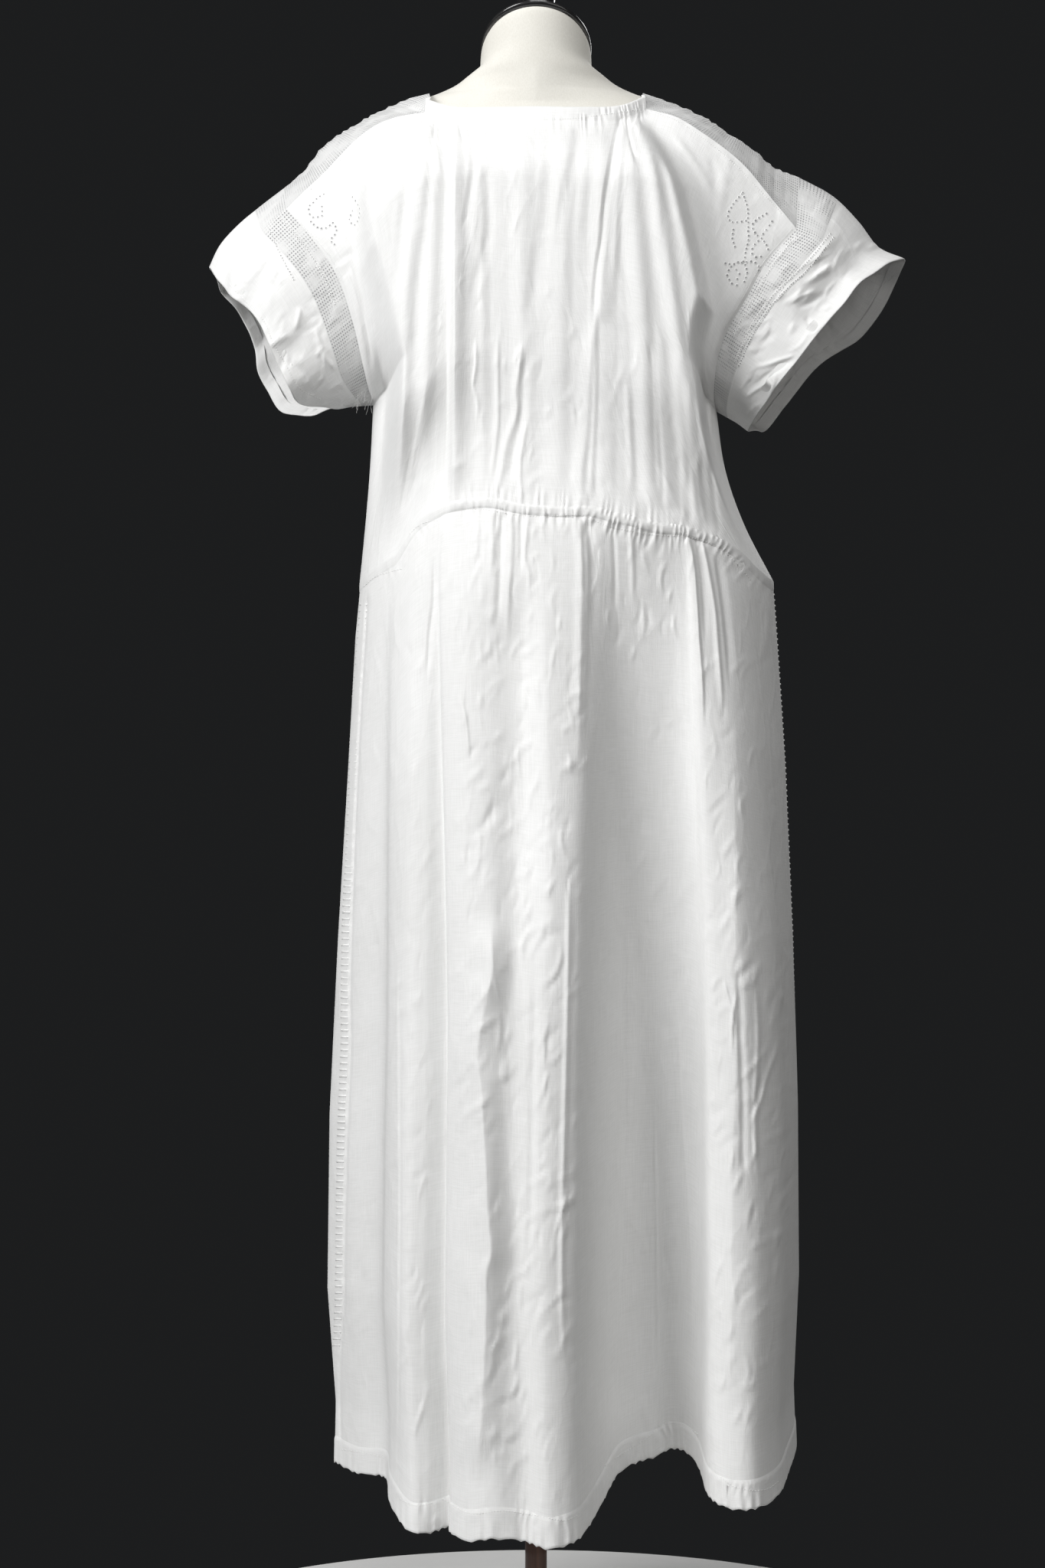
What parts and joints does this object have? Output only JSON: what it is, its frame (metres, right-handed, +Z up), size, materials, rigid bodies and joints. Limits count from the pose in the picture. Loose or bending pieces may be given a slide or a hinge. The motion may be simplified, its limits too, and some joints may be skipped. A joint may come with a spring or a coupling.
{
  "type": "linen dress on a dress form",
  "caption": "Long white linen dress with short sleeves, openwork shoulder bands and a shirred waist, on a limbless dress form with a pole stand.",
  "frame": {"origin": "middle of the base's underside, on the pole's axis", "axes": "+Z up; +Y the way the wearer faces, so the dress's back faces -Y; +X towards the wearer's right"},
  "size_m": [0.6718, 0.4172, 1.6118],
  "materials": {
    "white_linen": "plain weave, matte",
    "form_cloth": "fine jersey, matte",
    "black_metal": "gloss black",
    "stand_wood": "dark stain, satin"
  },
  "bodies": {
    "root": {"back_bodice": "white_linen", "front_bodice": "white_linen", "back_waist_casing": "white_linen", "front_waist_casing": "white_linen", "back_skirt": "white_linen", "front_skirt": "white_linen", "back_hem": "white_linen", "front_hem": "white_linen", "back_neckband": "white_linen", "front_neckband": "white_linen", "left_shoulder_band": "white_linen", "right_shoulder_band": "white_linen", "left_sleeve_band": "white_linen", "left_sleeve": "white_linen", "right_sleeve_band": "white_linen", "right_sleeve": "white_linen", "form_torso": "form_cloth", "neck_cap": "black_metal", "neck_knob": "black_metal", "stand_pole": "stand_wood", "stand_base": "stand_wood"}
  },
  "joints": []
}
